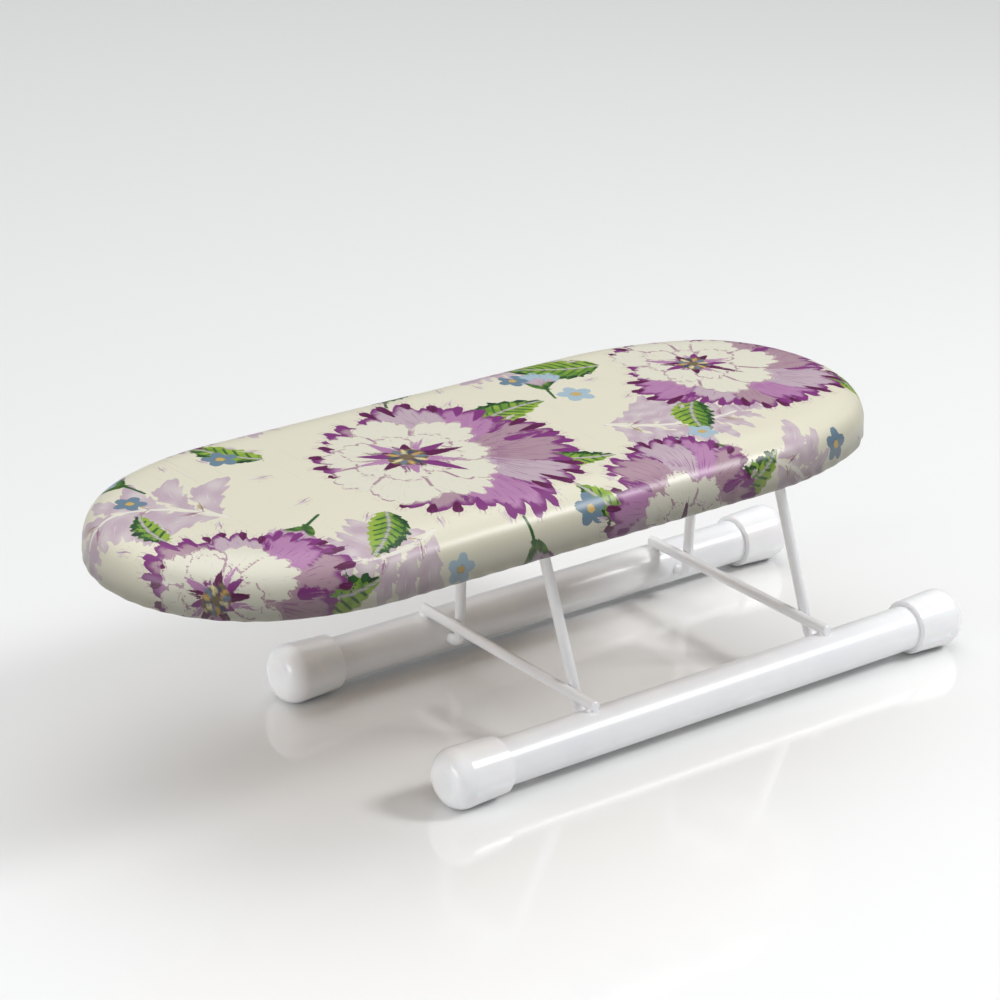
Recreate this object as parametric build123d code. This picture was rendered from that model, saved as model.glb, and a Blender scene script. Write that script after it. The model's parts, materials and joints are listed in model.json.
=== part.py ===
# Sleeve ironing board: a padded, cloth-covered board on two folding wire legs,
# which hinge in two capped steel tubes that stand on the table.
#
# Frame: millimetres, +Z up, z = 0 is the table. X runs along the board, with the
# free nose at -X and the heel at +X. Y runs across it: left, facing the nose, is -Y.
# The origin is on the table under the middle of the whole object's length and width.
from build123d import *

import os
from math import asin, atan2, cos, degrees, hypot, radians, sin

# ---------------------------------------------------------------- driving sizes
# board
BOARD_LENGTH = 472.0
BOARD_WIDTH = 173.0
BOARD_TOP = 160.0           # height of the ironing surface
BOARD_DEPTH = 27.5          # from the ironing surface down to the rim of the cover
NOSE_ROUND = 112.0          # length of the rounded nose
HEEL_ROUND = 124.0          # length of the rounded heel
NOSE_MIDDLE_RADIUS = 87.0   # each end is three tangent arcs, this the middle one
HEEL_MIDDLE_RADIUS = 72.0
END_TURNS = (22.0, 51.0)    # degrees turned from the side at the two joins of the arcs
SHOULDER_RADIUS = 18.0      # where the top rolls over into the side
RIM_RADIUS = 2.5            # where the side turns under

COVER_THICKNESS = 0.8
HEM_WIDTH = 24.0            # how far the cover reaches under the board
ELASTIC_WIDTH = 5.0
ELASTIC_THICKNESS = 1.2
PANEL_THICKNESS = 9.0
PAD_SKIRT = 4.0             # pad round the panel's edge
SOFT_CLEARANCE = 0.15       # between cover, pad, panel and elastic

# base
BASE_LENGTH = 364.0         # over the end caps
NOSE_OVERHANG = 152.0       # nose tip ahead of the base
TUBE_SPACING = 143.5        # between tube axes
TUBE_DIAMETER = 25.0
TUBE_WALL = 1.2
CAP_LENGTH = 35.0
CAP_WALL_AT_MOUTH = 2.7
CAP_FLARE = 1.2             # the cap is this much larger in radius near its closed end
CAP_END_THICKNESS = 4.0
CAP_END_ROUND_LENGTH = 10.0
CAP_END_ROUND_RADIUS = 9.5
CAP_MOUTH_EDGE = 0.6

# cross rods
ROD_DIAMETER = 6.0
ROD_SPACING = 167.0
ROD_PAST_TUBE_AXIS = 1.5    # each end runs this far past the crown of the tube
ROD_SEAT = 0.3              # depth of the welded seat in the tube
ROD_END_CHAMFER = 0.5
WELD_RADIUS = 4.2
WELD_HEIGHT = 1.7

# wire legs
WIRE_DIAMETER = 6.0
LEAN = 10.5                 # degrees past upright, towards the nose
LEG_TO_ROD_GAP = 0.3
LEG_TO_TUBE = 8.0           # wire axis to the tube's wall
CROSSBAR_WIDTH = 58.0       # between the upper corners
ELBOW_RADIUS = 7.0
CORNER_RADIUS = 9.0
FOOT_IN_TUBE = 7.0          # foot's reach past the inside of the tube wall
FOOT_CLEARANCE = 0.1

# saddle clips and screws
SADDLE_CLEARANCE = 0.15
CLIP_THICKNESS = 1.2
CLIP_WIDTH = 12.0
CLIP_FLANGE = 11.0
CLIP_TO_CORNER = 1.2
SCREW_SHANK_DIAMETER = 3.4
SCREW_SHANK_LENGTH = 8.0
SCREW_HEAD_DIAMETER = 7.0
SCREW_HEAD_HEIGHT = 2.2
SCREW_HOLE_CLEARANCE = 0.2
DRIVE_SLOT_WIDTH = 0.9
DRIVE_SLOT_LENGTH = 3.8
DRIVE_SLOT_DEPTH = 1.0

PAST = 1.0                  # how far a cutter runs past what it cuts

# ---------------------------------------------------------------- worked out
tube_radius = TUBE_DIAMETER / 2
rod_radius = ROD_DIAMETER / 2
wire_radius = WIRE_DIAMETER / 2
cap_mouth_radius = tube_radius + CAP_WALL_AT_MOUTH
cap_radius = cap_mouth_radius + CAP_FLARE
tube_z = cap_radius                                 # the caps stand on the table
tube_y = TUBE_SPACING / 2

overall_length = max(BOARD_LENGTH, NOSE_OVERHANG + BASE_LENGTH)
nose_x = -overall_length / 2
base_front_x = nose_x + NOSE_OVERHANG
base_middle_x = base_front_x + BASE_LENGTH / 2
rod_xs = {
    "front": base_middle_x - ROD_SPACING / 2,
    "rear": base_middle_x + ROD_SPACING / 2,
}
rod_z = tube_z + tube_radius - ROD_SEAT + rod_radius

board_bottom = BOARD_TOP - BOARD_DEPTH
panel_bottom = board_bottom + COVER_THICKNESS + ELASTIC_THICKNESS + 2 * SOFT_CLEARANCE
panel_top = panel_bottom + PANEL_THICKNESS
pad_inset = COVER_THICKNESS + SOFT_CLEARANCE
panel_inset = pad_inset + PAD_SKIRT

# A leg's plane passes the rod at the wire's radius, the rod's radius and the gap.
lean = radians(LEAN)
leg_stand_off = wire_radius + rod_radius + LEG_TO_ROD_GAP
pivot_from_rod = (leg_stand_off + (rod_z - tube_z) * sin(lean)) / cos(lean)
pivot_z = tube_z
saddle_radius = wire_radius + SADDLE_CLEARANCE
crossbar_z = panel_bottom - saddle_radius
leg_rise = crossbar_z - pivot_z
leg_length = leg_rise / cos(lean)
leg_shift = leg_length * sin(lean)
elbow_y = tube_y - tube_radius - LEG_TO_TUBE
corner_y = CROSSBAR_WIDTH / 2
foot_end_y = tube_y - tube_radius + TUBE_WALL + FOOT_IN_TUBE
clip_y = corner_y - CORNER_RADIUS - CLIP_TO_CORNER - CLIP_WIDTH / 2
screw_offset = saddle_radius + CLIP_THICKNESS + CLIP_FLANGE / 2
clip_reach = saddle_radius + CLIP_THICKNESS + CLIP_FLANGE


def pivot_x(end):
    """X of the axis a leg swings on, in the base tubes."""
    return rod_xs[end] + pivot_from_rod


def crossbar_x(end):
    """X of a leg's crossbar when the board stands open."""
    return pivot_x(end) - leg_shift


# Folding stops where the rim of the cover comes down on the cross rods.
FOLDED_GAP = 0.6
folded_crossbar_z = rod_z + rod_radius + FOLDED_GAP + (crossbar_z - board_bottom)
fold_travel = 90.0 + LEAN - degrees(asin((folded_crossbar_z - pivot_z) / leg_length))


# ---------------------------------------------------------------- board
def end_arcs(length, middle_radius):
    """Radii of three tangent arcs that turn from the board's side, over length, to its tip."""
    first, second = (radians(turn) for turn in END_TURNS)
    half_width = BOARD_WIDTH / 2
    along = length - middle_radius * (sin(second) - sin(first))
    across = half_width - middle_radius * (cos(first) - cos(second))
    scale = sin(first) * cos(second) - (1 - sin(second)) * (1 - cos(first))
    shoulder_radius = (along * cos(second) - across * (1 - sin(second))) / scale
    tip_radius = (across * sin(first) - along * (1 - cos(first))) / scale
    return shoulder_radius, middle_radius, tip_radius


def quarter_outline(length, middle_radius, inset):
    """Edges from the shoulder at x = 0 to the tip at +X, drawn in by inset."""
    turns = (0, *END_TURNS, 90)
    centre_x = 0.0
    centre_y = BOARD_WIDTH / 2
    radius_before = 0.0
    edges = []
    for radius, start, end in zip(end_arcs(length, middle_radius), turns, turns[1:]):
        centre_x += (radius_before - radius) * sin(radians(start))
        centre_y += (radius_before - radius) * cos(radians(start))
        edges.append(CenterArc((centre_x, centre_y), radius - inset, 90 - end, end - start))
        radius_before = radius
    return edges


def board_outline(inset):
    """The board's plan shape, drawn in by inset all round, as a face at z = 0."""
    nose_shoulder = nose_x + NOSE_ROUND
    heel_shoulder = nose_x + BOARD_LENGTH - HEEL_ROUND
    nose = [mirror(edge, Plane.YZ) for edge in quarter_outline(NOSE_ROUND, NOSE_MIDDLE_RADIUS, inset)]
    heel = quarter_outline(HEEL_ROUND, HEEL_MIDDLE_RADIUS, inset)
    half_width = BOARD_WIDTH / 2 - inset
    upper = [Pos(nose_shoulder, 0) * edge for edge in nose]
    upper += [Pos(heel_shoulder, 0) * edge for edge in heel]
    upper.append(Line((nose_shoulder, half_width), (heel_shoulder, half_width)))
    return make_face(upper + [mirror(edge, Plane.XZ) for edge in upper])


def slab(inset, bottom, top):
    """A flat plate of the board's outline between two heights."""
    return Pos(0, 0, bottom) * extrude(board_outline(inset), amount=top - bottom)


def pillow(inset, bottom, top, shoulder, rim=0.0):
    """The padded shape: a plate whose top edge rolls over, and whose bottom edge turns under."""
    body = slab(inset, bottom, top)
    body = fillet(body.edges().group_by(Axis.Z)[-1], shoulder)
    if rim > 0:
        body = fillet(body.edges().group_by(Axis.Z)[0], rim)
    return body


def make_cover():
    """Cotton cover: over the top and sides and under the rim, open in the middle below."""
    outside = pillow(0, board_bottom, BOARD_TOP, SHOULDER_RADIUS, RIM_RADIUS)
    inside = pillow(
        COVER_THICKNESS,
        board_bottom + COVER_THICKNESS,
        BOARD_TOP - COVER_THICKNESS,
        SHOULDER_RADIUS - COVER_THICKNESS,
        RIM_RADIUS - COVER_THICKNESS,
    )
    opening = slab(HEM_WIDTH, board_bottom - PAST, panel_bottom)
    return outside - inside - opening


def make_elastic():
    """Flat elastic that gathers the cover's hem, lying on the turned-under cloth."""
    outer_inset = HEM_WIDTH - ELASTIC_WIDTH - SOFT_CLEARANCE
    bottom = board_bottom + COVER_THICKNESS + SOFT_CLEARANCE
    top = bottom + ELASTIC_THICKNESS
    ring = slab(outer_inset, bottom, top)
    return ring - slab(outer_inset + ELASTIC_WIDTH, bottom - PAST, top + PAST)


def make_pad():
    """Foam pad over the panel, with a skirt down round its edge."""
    foam = pillow(pad_inset, panel_bottom, BOARD_TOP - pad_inset, SHOULDER_RADIUS - pad_inset)
    pocket = slab(panel_inset - SOFT_CLEARANCE, panel_bottom - PAST, panel_top + SOFT_CLEARANCE)
    return foam - pocket


def screw_places():
    """Name of the end, and x and y, of each saddle screw."""
    for end in ("front", "rear"):
        for side in (-1, 1):
            for way in (-1, 1):
                yield end, crossbar_x(end) + way * screw_offset, side * clip_y


def make_panel():
    """Board panel with a pilot hole for each saddle screw."""
    panel = slab(panel_inset, panel_bottom, panel_top)
    depth = SCREW_SHANK_LENGTH - CLIP_THICKNESS
    for _, x, y in screw_places():
        hole = Cylinder(SCREW_SHANK_DIAMETER / 2, depth + PAST, align=(Align.CENTER, Align.CENTER, Align.MAX))
        panel -= Pos(x, y, panel_bottom + depth) * hole
    return panel


# ---------------------------------------------------------------- base
def tube_holes(side):
    """Cutters for the holes in one tube's inner wall that the legs' feet swing in."""
    radius = wire_radius + FOOT_CLEARANCE
    length = tube_radius + PAST
    for end in ("front", "rear"):
        hole = Rot(90, 0, 0) * Cylinder(radius, length)
        yield Pos(pivot_x(end), side * (tube_y - length / 2), pivot_z) * hole


def make_tube(side):
    """Base tube with its bore, the feet's holes and the shallow seats of the cross rods."""
    length = BASE_LENGTH - 2 * CAP_END_THICKNESS
    along = Rot(0, 90, 0)
    tube = along * (Cylinder(tube_radius, length) - Cylinder(tube_radius - TUBE_WALL, length + 2 * PAST))
    tube = Pos(base_middle_x, side * tube_y, tube_z) * tube
    for hole in tube_holes(side):
        tube -= hole
    for x in rod_xs.values():
        tube -= make_rod_blank(x)
    return tube


def make_cap(side, way):
    """Push-on end cap: slightly flared, with a rounded closed end. way is -1 at the nose end."""
    rounding_start = CAP_LENGTH - CAP_END_ROUND_LENGTH
    end_flat = cap_radius - CAP_END_ROUND_RADIUS
    profile = Polyline(
        (rounding_start, cap_radius),
        (CAP_MOUTH_EDGE, cap_mouth_radius),
        (0, cap_mouth_radius - CAP_MOUTH_EDGE),
        (0, tube_radius),
        (CAP_LENGTH - CAP_END_THICKNESS, tube_radius),
        (CAP_LENGTH - CAP_END_THICKNESS, 0),
        (CAP_LENGTH, 0),
        (CAP_LENGTH, end_flat),
    )
    corner = (rounding_start, end_flat)
    rounding = EllipticalCenterArc(corner, CAP_END_ROUND_LENGTH, CAP_END_ROUND_RADIUS, arc_size=90)
    cap = revolve(make_face([profile, rounding]), Axis.X)
    mouth = BASE_LENGTH / 2 - CAP_LENGTH
    if way < 0:
        cap = mirror(cap, Plane.YZ)
    return Pos(base_middle_x + way * mouth, side * tube_y, tube_z) * cap


def make_rod_blank(x):
    """A cross rod as a plain bar over both tubes."""
    length = TUBE_SPACING + 2 * ROD_PAST_TUBE_AXIS
    return Pos(x, 0, rod_z) * Rot(90, 0, 0) * Cylinder(rod_radius, length)


def make_rod(x):
    """A cross rod with its cut ends eased."""
    rod = make_rod_blank(x)
    ends = rod.edges().filter_by(GeomType.CIRCLE)
    return chamfer(ends, ROD_END_CHAMFER)


def make_weld(x, side):
    """Weld round the seat of a cross rod on a tube, clear of both metals."""
    centre_y = side * (tube_y - (WELD_RADIUS - ROD_PAST_TUBE_AXIS) / 2)
    crown = tube_z + tube_radius
    bead = Cone(WELD_RADIUS, rod_radius, WELD_HEIGHT + PAST, align=(Align.CENTER, Align.CENTER, Align.MIN))
    bead = Pos(x, centre_y, crown - PAST) * bead
    tube = Pos(x, side * tube_y, tube_z) * Rot(0, 90, 0) * Cylinder(tube_radius, 4 * WELD_RADIUS)
    return bead - tube - make_rod_blank(x)


# ---------------------------------------------------------------- legs
def make_leg(end):
    """One bent wire: foot, elbow, side, corner, crossbar and back, in a plane that leans to the nose."""
    corners = [
        (foot_end_y, 0),
        (elbow_y, 0),
        (corner_y, leg_length),
        (-corner_y, leg_length),
        (-elbow_y, 0),
        (-foot_end_y, 0),
    ]
    points = [(pivot_x(end) - s * sin(lean), y, pivot_z + s * cos(lean)) for y, s in corners]
    path = FilletPolyline(*points, radius=[ELBOW_RADIUS, CORNER_RADIUS, CORNER_RADIUS, ELBOW_RADIUS])
    start = Plane(origin=path @ 0, z_dir=path % 0)
    return sweep(start * Circle(wire_radius), path=path)


# ---------------------------------------------------------------- clips and screws
def make_clip(end, side):
    """Omega saddle: a strap round the crossbar with a screwed flange each way."""
    outer = saddle_radius + CLIP_THICKNESS
    across = Rot(90, 0, 0)
    body = across * Cylinder(outer, CLIP_WIDTH)
    flanges = Pos(0, 0, saddle_radius - CLIP_THICKNESS / 2) * Box(2 * clip_reach, CLIP_WIDTH, CLIP_THICKNESS)
    cheeks = Pos(0, 0, saddle_radius / 2) * Box(2 * outer, CLIP_WIDTH, saddle_radius)
    keep_below = Pos(0, 0, saddle_radius - outer) * Box(4 * clip_reach, 2 * CLIP_WIDTH, 2 * outer)
    throat = Pos(0, 0, outer / 2) * Box(2 * saddle_radius, CLIP_WIDTH + 2 * PAST, outer)
    strap = ((body + cheeks) & keep_below) + flanges
    strap = strap - across * Cylinder(saddle_radius, CLIP_WIDTH + 2 * PAST) - throat
    for way in (-1, 1):
        hole = Cylinder(SCREW_SHANK_DIAMETER / 2 + SCREW_HOLE_CLEARANCE, 4 * outer)
        strap -= Pos(way * screw_offset, 0, 0) * hole
    return Pos(crossbar_x(end), side * clip_y, crossbar_z) * strap


def make_screw(x, y):
    """Pan-head screw, head down, with a cross drive."""
    head_top = panel_bottom - CLIP_THICKNESS
    head = Cylinder(
        SCREW_HEAD_DIAMETER / 2, SCREW_HEAD_HEIGHT, align=(Align.CENTER, Align.CENTER, Align.MAX)
    )
    head = fillet(head.edges().group_by(Axis.Z)[0], SCREW_HEAD_HEIGHT / 2)
    shank = Cylinder(
        SCREW_SHANK_DIAMETER / 2, SCREW_SHANK_LENGTH, align=(Align.CENTER, Align.CENTER, Align.MIN)
    )
    screw = head + shank
    for turn in (0, 90):
        slot = Box(DRIVE_SLOT_LENGTH, DRIVE_SLOT_WIDTH, 2 * DRIVE_SLOT_DEPTH)
        screw -= Pos(0, 0, -SCREW_HEAD_HEIGHT) * Rot(0, 0, turn) * slot
    return Pos(x, y, head_top) * screw


# ---------------------------------------------------------------- assembly
def sub_parts():
    """Every separate piece by name, as a list of its solids."""
    sides = {"left": -1, "right": 1}
    parts = {
        "cover": [make_cover()],
        "hem_elastic": [make_elastic()],
        "foam_pad": [make_pad()],
        "board_panel": [make_panel()],
    }
    for side_name, side in sides.items():
        parts["base_tube_" + side_name] = [make_tube(side)]
        for way_name, way in (("front", -1), ("rear", 1)):
            parts[f"end_cap_{way_name}_{side_name}"] = [make_cap(side, way)]
    for end, x in rod_xs.items():
        parts["cross_rod_" + end] = [make_rod(x)]
        parts["rod_welds_" + end] = [make_weld(x, side) for side in sides.values()]
        parts["wire_leg_" + end] = [make_leg(end)]
        parts["saddle_screws_" + end] = [make_screw(x, y) for e, x, y in screw_places() if e == end]
        for side_name, side in sides.items():
            parts[f"saddle_clip_{end}_{side_name}"] = [make_clip(end, side)]
    return parts


def main():
    os.makedirs("parts", exist_ok=True)
    for name, solids in sub_parts().items():
        pieces = [solid for shape in solids for solid in shape.solids()]
        export_step(Compound(children=pieces) if len(pieces) > 1 else pieces[0], f"parts/{name}.step")
    tilt = degrees(atan2(elbow_y - corner_y, leg_length))
    print("overall length", overall_length, "leg length", round(leg_length, 2), "side tilt", round(tilt, 2))
    for end in rod_xs:
        places = [pivot_x(end), pivot_z, crossbar_x(end), crossbar_z]
        print(end, "pivot x z, crossbar x z", [round(v, 3) for v in places])
    print("fold travel", round(fold_travel, 2), "reach", round(hypot(leg_rise, leg_shift), 2))


main()
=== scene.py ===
import json
import math

import bmesh
import bpy
import numpy as np
from mathutils import Matrix, Vector


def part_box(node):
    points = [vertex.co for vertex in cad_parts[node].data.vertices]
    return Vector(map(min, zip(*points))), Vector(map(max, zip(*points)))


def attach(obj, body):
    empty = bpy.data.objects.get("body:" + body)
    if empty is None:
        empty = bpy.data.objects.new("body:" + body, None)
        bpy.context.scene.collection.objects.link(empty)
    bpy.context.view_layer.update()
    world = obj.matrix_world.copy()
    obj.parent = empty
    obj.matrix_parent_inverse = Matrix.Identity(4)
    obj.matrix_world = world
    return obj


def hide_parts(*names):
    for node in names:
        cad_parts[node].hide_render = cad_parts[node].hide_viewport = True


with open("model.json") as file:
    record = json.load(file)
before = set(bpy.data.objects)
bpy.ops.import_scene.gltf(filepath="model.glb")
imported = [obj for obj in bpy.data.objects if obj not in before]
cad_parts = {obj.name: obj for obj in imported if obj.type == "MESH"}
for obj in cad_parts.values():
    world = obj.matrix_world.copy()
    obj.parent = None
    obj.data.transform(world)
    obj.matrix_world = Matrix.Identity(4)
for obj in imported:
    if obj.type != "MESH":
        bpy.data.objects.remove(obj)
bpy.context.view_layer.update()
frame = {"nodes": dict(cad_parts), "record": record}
mm = 0.001
print("frame loaded:", len(frame["nodes"]), "nodes")


# ---- colour and node helpers

def linearColour(hexText):
    # sRGB hex to linear light, by the sRGB curve
    parts = [int(hexText[i:i + 2], 16) / 255 for i in (1, 3, 5)]
    return [p / 12.92 if p <= 0.04045 else ((p + 0.055) / 1.055) ** 2.4 for p in parts]


def addNode(material, kind, inputs=None, **settings):
    # one node: settings are its properties, inputs are values or output sockets by name or number
    node = material.node_tree.nodes.new(kind)
    for name, value in settings.items():
        setattr(node, name, value)
    for key, value in (inputs or {}).items():
        if isinstance(value, bpy.types.NodeSocket):
            material.node_tree.links.new(value, node.inputs[key])
        else:
            node.inputs[key].default_value = value
    return node


def newMaterial(name, base, **sockets):
    # a Principled surface with its constant sockets set directly
    material = bpy.data.materials.new(name)
    material.use_nodes = True
    shader = material.node_tree.nodes["Principled BSDF"]
    shader.inputs["Base Color"].default_value = (*linearColour(base), 1)
    for socket, value in sockets.items():
        shader.inputs[socket.replace("_", " ")].default_value = value
    return material, shader


def link(material, output, target):
    # joins an output socket to an input socket
    material.node_tree.links.new(output, target)


def noiseBump(material, shader, size, strength, depth, detail=2.0):
    # object-space noise of the given feature size in metres, pressed in by depth metres
    where = addNode(material, "ShaderNodeTexCoord").outputs["Object"]
    noise = addNode(material, "ShaderNodeTexNoise", {"Vector": where, "Scale": 1 / size, "Detail": detail})
    bump = addNode(material, "ShaderNodeBump",
                   {"Height": noise.outputs["Fac"], "Strength": strength, "Distance": depth})
    link(material, bump.outputs["Normal"], shader.inputs["Normal"])
    return where


def mottle(material, shader, where, size, dark, light):
    # slow change between two colours over the surface: noise run through a two-stop ramp
    noise = addNode(material, "ShaderNodeTexNoise", {"Vector": where, "Scale": 1 / size, "Detail": 3.0})
    ramp = addNode(material, "ShaderNodeValToRGB", {"Fac": noise.outputs["Fac"]})
    ramp.color_ramp.elements[0].color = (*linearColour(dark), 1)
    ramp.color_ramp.elements[0].position = 0.35
    ramp.color_ramp.elements[1].color = (*linearColour(light), 1)
    ramp.color_ramp.elements[1].position = 0.65
    link(material, ramp.outputs["Color"], shader.inputs["Base Color"])


# ---- hard materials

def powderCoat():
    # baked white powder on steel: a faint orange-peel skin under a soft gloss
    material, shader = newMaterial("glossWhitePowderCoat", "#f1f2f4", Roughness=0.3, IOR=1.5,
                                   Coat_Weight=0.12, Coat_Roughness=0.2)
    where = noiseBump(material, shader, 1.6 * mm, 0.25, 0.04 * mm)
    mottle(material, shader, where, 40 * mm, "#eeeff2", "#f4f5f6")
    return material


def mouldedCap():
    # injection-moulded white polyethylene: smooth and glossy, light passes a little into it
    material, shader = newMaterial("mouldedWhitePolyethylene", "#f3f4f5", Roughness=0.2, IOR=1.51,
                                   Subsurface_Weight=0.15, Subsurface_Scale=0.002)
    where = noiseBump(material, shader, 9 * mm, 0.15, 0.08 * mm, 1.0)
    mottle(material, shader, where, 25 * mm, "#f0f1f3", "#f7f7f8")
    return material


def zincPlate():
    # bright zinc over pressed steel: grey metal with fine grain
    material, shader = newMaterial("brightZincPlatedSteel", "#c3c6c9", Roughness=0.3, Metallic=1.0)
    where = noiseBump(material, shader, 0.5 * mm, 0.3, 0.02 * mm)
    mottle(material, shader, where, 3 * mm, "#b2b6ba", "#cfd2d4")
    return material


def fibreboard():
    # pressed wood fibre, sanded: matt tan with short fibres
    material, shader = newMaterial("sandedFibreboard", "#a98a63", Roughness=0.82, IOR=1.45)
    where = noiseBump(material, shader, 0.8 * mm, 0.5, 0.08 * mm, 5.0)
    mottle(material, shader, where, 1.5 * mm, "#9c7d57", "#b89a72")
    return material


def wovenElastic():
    # knitted elastic tape: off-white ribs across the band
    material, shader = newMaterial("wovenElasticTape", "#e6e3da", Roughness=0.85, IOR=1.45,
                                   Sheen_Weight=0.2)
    noiseBump(material, shader, 0.7 * mm, 0.6, 0.15 * mm)
    return material


def dressNodes():
    # every rigid node takes the finish named by its material slot
    finishes = {
        "white_steel": powderCoat(), "white_plastic": mouldedCap(), "zinc_screw": zincPlate(),
        "fibreboard": fibreboard(), "elastic": wovenElastic(),
    }
    for part in frame["record"]["subparts"]:
        finish = finishes.get(part["material_slot"])
        if finish:
            for slot in frame["nodes"][part["node"]].material_slots:
                slot.material = finish
    print("hard parts dressed:", len(finishes), "finishes")


# ---- the board's plan shape and the cover that wraps it

board = {
    "noseRound": 112.0, "heelRound": 124.0,   # length of each rounded end
    "noseMiddle": 87.0, "heelMiddle": 72.0,   # radius of each end's middle arc
    "turns": (22.0, 51.0),                    # degrees turned where the arcs join
    "shoulder": 24.0, "drop": 19.0, "rim": 2.5,  # roll-over at the top, turn under at the rim
    "squareness": 2.4,                        # 2 would make the roll-over a plain quarter ellipse
    "hem": 24.2,                              # cloth under the board
    "around": 900, "substeps": 40,            # columns round the outline, and steps summed for each
    "topRows": 55, "rollRows": 24, "sideRows": 4,  # rows of points down the section
    "rimRows": 5, "hemRows": 14, "linerRows": 3, "closeRows": 3,
    "gathers": 86, "gatherDepth": 0.6,        # pleats made by the elastic, and half their height
    "panelInset": 4.85, "panelTop": 143.95, "panelBottom": 134.73,
}


def endArcs(length, middle, halfWidth):
    # radii of three tangent arcs from the side to the tip: two sums, along and across, solved together
    first, second = (math.radians(t) for t in board["turns"])
    along = length - middle * (math.sin(second) - math.sin(first))
    across = halfWidth - middle * (math.cos(first) - math.cos(second))
    scale = math.sin(first) * math.cos(second) - (1 - math.sin(second)) * (1 - math.cos(first))
    shoulder = (along * math.cos(second) - across * (1 - math.sin(second))) / scale
    tip = (across * math.sin(first) - along * (1 - math.cos(first))) / scale
    return shoulder, middle, tip


def planOutline(box):
    # the outward normal turns evenly along each arc and not at all along the sides;
    # each point is the running sum of the steps taken at right angles to it, from the heel's tip
    halfWidth = (box[1][1] - box[0][1]) / 2 / mm
    nose, heel = box[0][0] / mm, box[1][0] / mm
    noseRadii = endArcs(board["noseRound"], board["noseMiddle"], halfWidth)
    heelRadii = endArcs(board["heelRound"], board["heelMiddle"], halfWidth)
    first, second = board["turns"]
    sweeps = [90 - second, second - first, first]
    side = heel - nose - board["noseRound"] - board["heelRound"]
    half = [(math.radians(t) * r, t) for t, r in zip(sweeps, heelRadii[::-1])] + [(side, 0)]
    half += [(math.radians(t) * r, t) for t, r in zip(sweeps[::-1], noseRadii)]
    runs = np.array(half + half[::-1])
    stations = np.concatenate([[0], np.cumsum(runs[:, 0])])
    bearings = np.radians(np.concatenate([[0], np.cumsum(runs[:, 1])]))
    fine = np.linspace(0, stations[-1], board["substeps"] * board["around"] + 1)
    bearing = np.interp(fine, stations, bearings)
    middle = (bearing[1:] + bearing[:-1]) / 2
    step = fine[1]
    x = heel + np.concatenate([[0], np.cumsum(-np.sin(middle) * step)])
    y = np.concatenate([[0], np.cumsum(np.cos(middle) * step)])
    pick = np.arange(board["around"]) * board["substeps"]
    centres = (nose + noseRadii[2], heel - heelRadii[2])
    edges = (nose + board["noseRound"], heel - board["heelRound"])
    return {"s": fine[pick], "x": x[pick], "y": y[pick], "nx": np.cos(bearing[pick]),
            "ny": np.sin(bearing[pick]), "poles": centres, "shoulders": edges}


def poleLine(plan):
    # each column's inner end on the centre line: under itself along the sides, and gathered
    # evenly into the middle of the tip's arc round each end
    x = plan["x"]
    lowPole, highPole = plan["poles"]
    lowEdge, highEdge = plan["shoulders"]
    nose, heel = x.min(), x.max()
    past = np.clip((lowEdge - x) / (lowEdge - nose), 0, 1)
    beyond = np.clip((x - highEdge) / (heel - highEdge), 0, 1)
    pole = np.clip(x, lowEdge, highEdge)
    pole = pole + (lowPole - lowEdge) * past * (2 - past) * (past > 0)
    pole = pole + (highPole - highEdge) * beyond * (2 - beyond) * (beyond > 0)
    return pole


def coverRows(box):
    # the cover's section from the middle of the top to the hem: (kind, inset from the outline in mm,
    # height in mm, distance along the cloth past the flat top in mm)
    top, bottom = box[1][2] / mm, box[0][2] / mm
    drop, rim = board["drop"], board["rim"]
    turn = np.linspace(0, math.pi / 2, 600)
    power = 2 / board["squareness"]
    inset = board["shoulder"] * (1 - np.sin(turn) ** power)
    height = top - drop * (1 - np.abs(np.cos(turn)) ** power)
    run = np.concatenate([[0], np.cumsum(np.hypot(np.diff(inset), np.diff(height)))])
    along = run[-1]
    even = np.linspace(0, along, board["rollRows"] + 1)[1:]
    roll = list(zip(np.interp(even, run, inset), np.interp(even, run, height), even))
    sideLength = top - bottom - drop - rim
    shares = np.arange(1, board["sideRows"] + 1) / board["sideRows"]
    side = [(0.0, top - drop - sideLength * t, along + sideLength * t) for t in shares]
    along += sideLength
    under = [(rim * (1 - math.cos(a)), bottom + rim * (1 - math.sin(a)), along + rim * a)
             for a in np.linspace(0, 1, board["rimRows"] + 1)[1:] * math.pi / 2]
    along += rim * math.pi / 2
    hem = [(rim + (board["hem"] - rim) * t, bottom, along + (board["hem"] - rim) * t)
           for t in np.linspace(0, 1, board["hemRows"] + 1)[1:]]
    return np.array(roll + side + under + hem)


def gatherWave(s, total, seed):
    # pleats round the hem: a sine whose spacing and height drift, so that no two are alike
    rng = np.random.default_rng(seed)
    turn = 2 * math.pi * s / total
    phase = board["gathers"] * turn
    height = np.ones_like(s)
    for harmonic in (3, 5, 9, 14, 23):
        phase = phase + rng.uniform(0.4, 1.1) * np.sin(harmonic * turn + rng.uniform(0, 6.3))
        height = height + 0.18 * np.sin((harmonic + 4) * turn + rng.uniform(0, 6.3))
    return np.sin(phase) * height


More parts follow.
